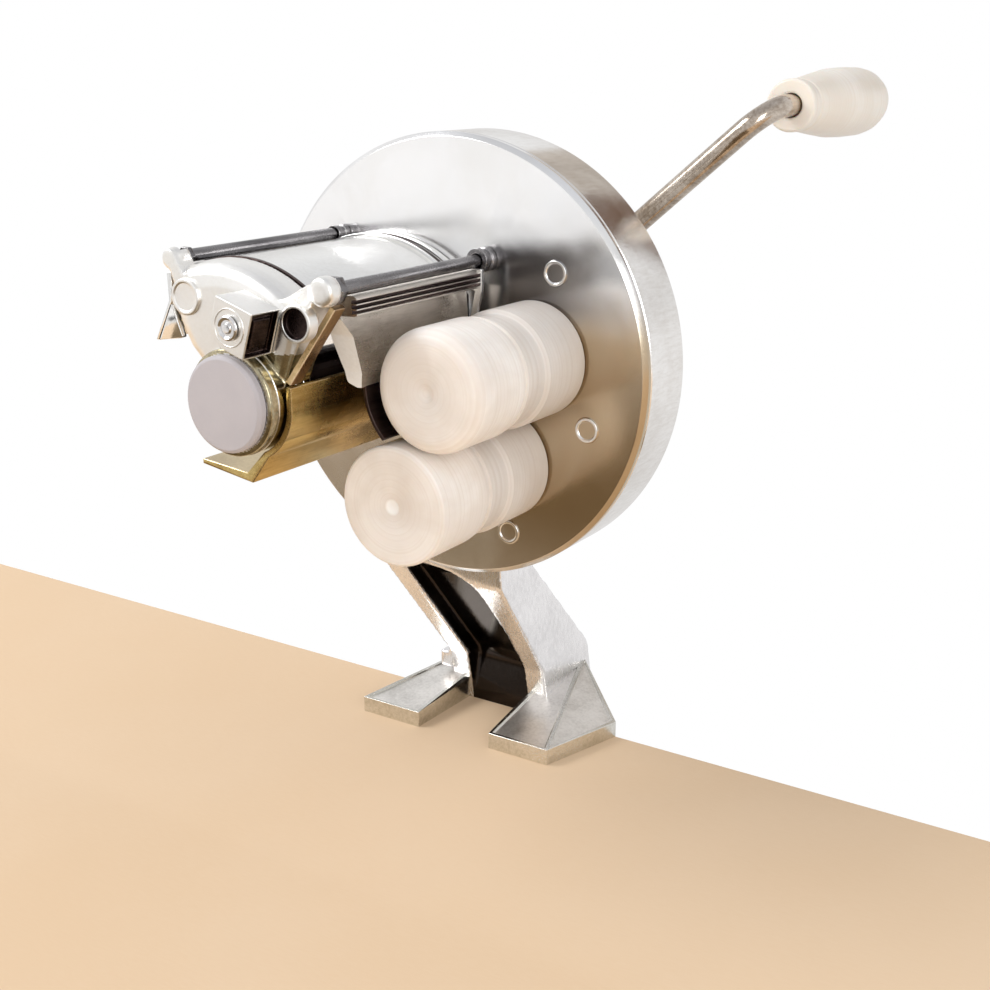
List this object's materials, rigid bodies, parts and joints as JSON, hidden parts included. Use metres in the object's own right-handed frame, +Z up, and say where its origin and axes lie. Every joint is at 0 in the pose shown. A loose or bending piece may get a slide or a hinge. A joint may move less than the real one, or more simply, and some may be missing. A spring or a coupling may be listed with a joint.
{
  "type": "noodle press",
  "caption": "Hand-cranked roller press that clamps to a table edge, draws a rope of dough between paired rollers and cuts it into short ridged pasta.",
  "frame": {"origin": "the clamp's inner corner: the middle of the stand's web face that meets the table's edge, level with the feet's undersides", "axes": "+Z up; the head, its rollers and cutter point to -Y over the table; the crank is at +Y; X runs along the table's edge, with the rollers at +X"},
  "size_m": [0.1678, 0.2727, 0.3433],
  "materials": {
    "polished_casting": "cast and polished to a near mirror",
    "steel": "bright turned steel",
    "ivory_plastic": "turned, slightly translucent, satin",
    "grey_plastic": "matte",
    "bronze": "plain turned bearing metal"
  },
  "bodies": {
    "frame": {"stand": "polished_casting", "gear_housing": "polished_casting", "back_cover": "polished_casting", "cover_screw_1": "steel", "cover_screw_2": "steel", "cover_screw_3": "steel", "cover_screw_4": "steel", "main_bush_front": "bronze", "main_bush_rear": "bronze", "top_bush_front": "bronze", "top_bush_rear": "bronze", "bottom_bush_front": "bronze", "bottom_bush_rear": "bronze", "vault_cover": "polished_casting", "side_wall": "polished_casting", "forming_trough": "polished_casting", "end_bracket": "polished_casting", "bearing_cap": "grey_plastic", "clamp_block": "polished_casting", "block_bolt": "steel", "left_bracket_screw": "polished_casting", "right_bracket_screw": "polished_casting", "left_tie_rod": "steel", "right_tie_rod": "steel", "left_rod_nut": "steel", "right_rod_nut": "steel", "left_rod_collar": "steel", "right_rod_collar": "steel", "left_hood": "polished_casting", "right_strap": "polished_casting"},
    "crank": {"main_shaft": "steel", "main_gear": "steel", "cutter_drum": "steel", "cutter_blade_1": "steel", "cutter_blade_2": "steel", "crank_hub": "steel", "crank_nut": "steel", "crank_rod": "steel", "grip_end_cap": "steel"},
    "grip": {"crank_grip": "ivory_plastic"},
    "top_train": {"top_roller": "ivory_plastic", "top_shaft": "steel", "top_gear": "steel", "top_pinion": "steel"},
    "bottom_train": {"bottom_roller": "ivory_plastic", "bottom_shaft": "steel", "bottom_gear": "steel", "bottom_spacer": "steel"},
    "pad": {"clamp_pad": "steel"},
    "screw": {"clamp_screw": "steel"},
    "tbar": {"clamp_tbar": "steel", "left_tbar_knob": "steel", "right_tbar_knob": "steel"}
  },
  "joints": [
    {"name": "crank_spin", "type": "hinge", "parent": "frame", "child": "crank", "pos_m": [-0.014, 0, 0.1425], "axis": [0, 1, 0], "continuous": true},
    {"name": "grip_spin", "type": "hinge", "parent": "crank", "child": "grip", "pos_m": [0.08029, 0.058, 0.22303], "axis": [0, 1, 0], "continuous": true},
    {"name": "top_roller_spin", "type": "hinge", "parent": "frame", "child": "top_train", "pos_m": [0.03489, 0, 0.14575], "axis": [0, 1, 0], "continuous": true},
    {"name": "bottom_roller_spin", "type": "hinge", "parent": "frame", "child": "bottom_train", "pos_m": [0.0219, 0, 0.10915], "axis": [0, 1, 0], "continuous": true},
    {"name": "clamp_travel", "type": "slide", "parent": "frame", "child": "pad", "axis": [0, 0, 1], "range_m": [-0.0121, 0.0171]},
    {"name": "clamp_turn", "type": "hinge", "parent": "pad", "child": "screw", "pos_m": [0, -0.022, -0.036], "axis": [0, 0, 1], "range_deg": [-2160, 3060]},
    {"name": "tbar_slide", "type": "slide", "parent": "screw", "child": "tbar", "axis": [1, 0, 0], "range_m": [-0.0245, 0.0245]}
  ],
  "couplings": [
    {"joint": "top_roller_spin", "follows": "crank_spin", "ratio": -2},
    {"joint": "bottom_roller_spin", "follows": "crank_spin", "ratio": 2},
    {"joint": "clamp_travel", "follows": "clamp_turn", "m_per_rad": 0.00031831}
  ]
}
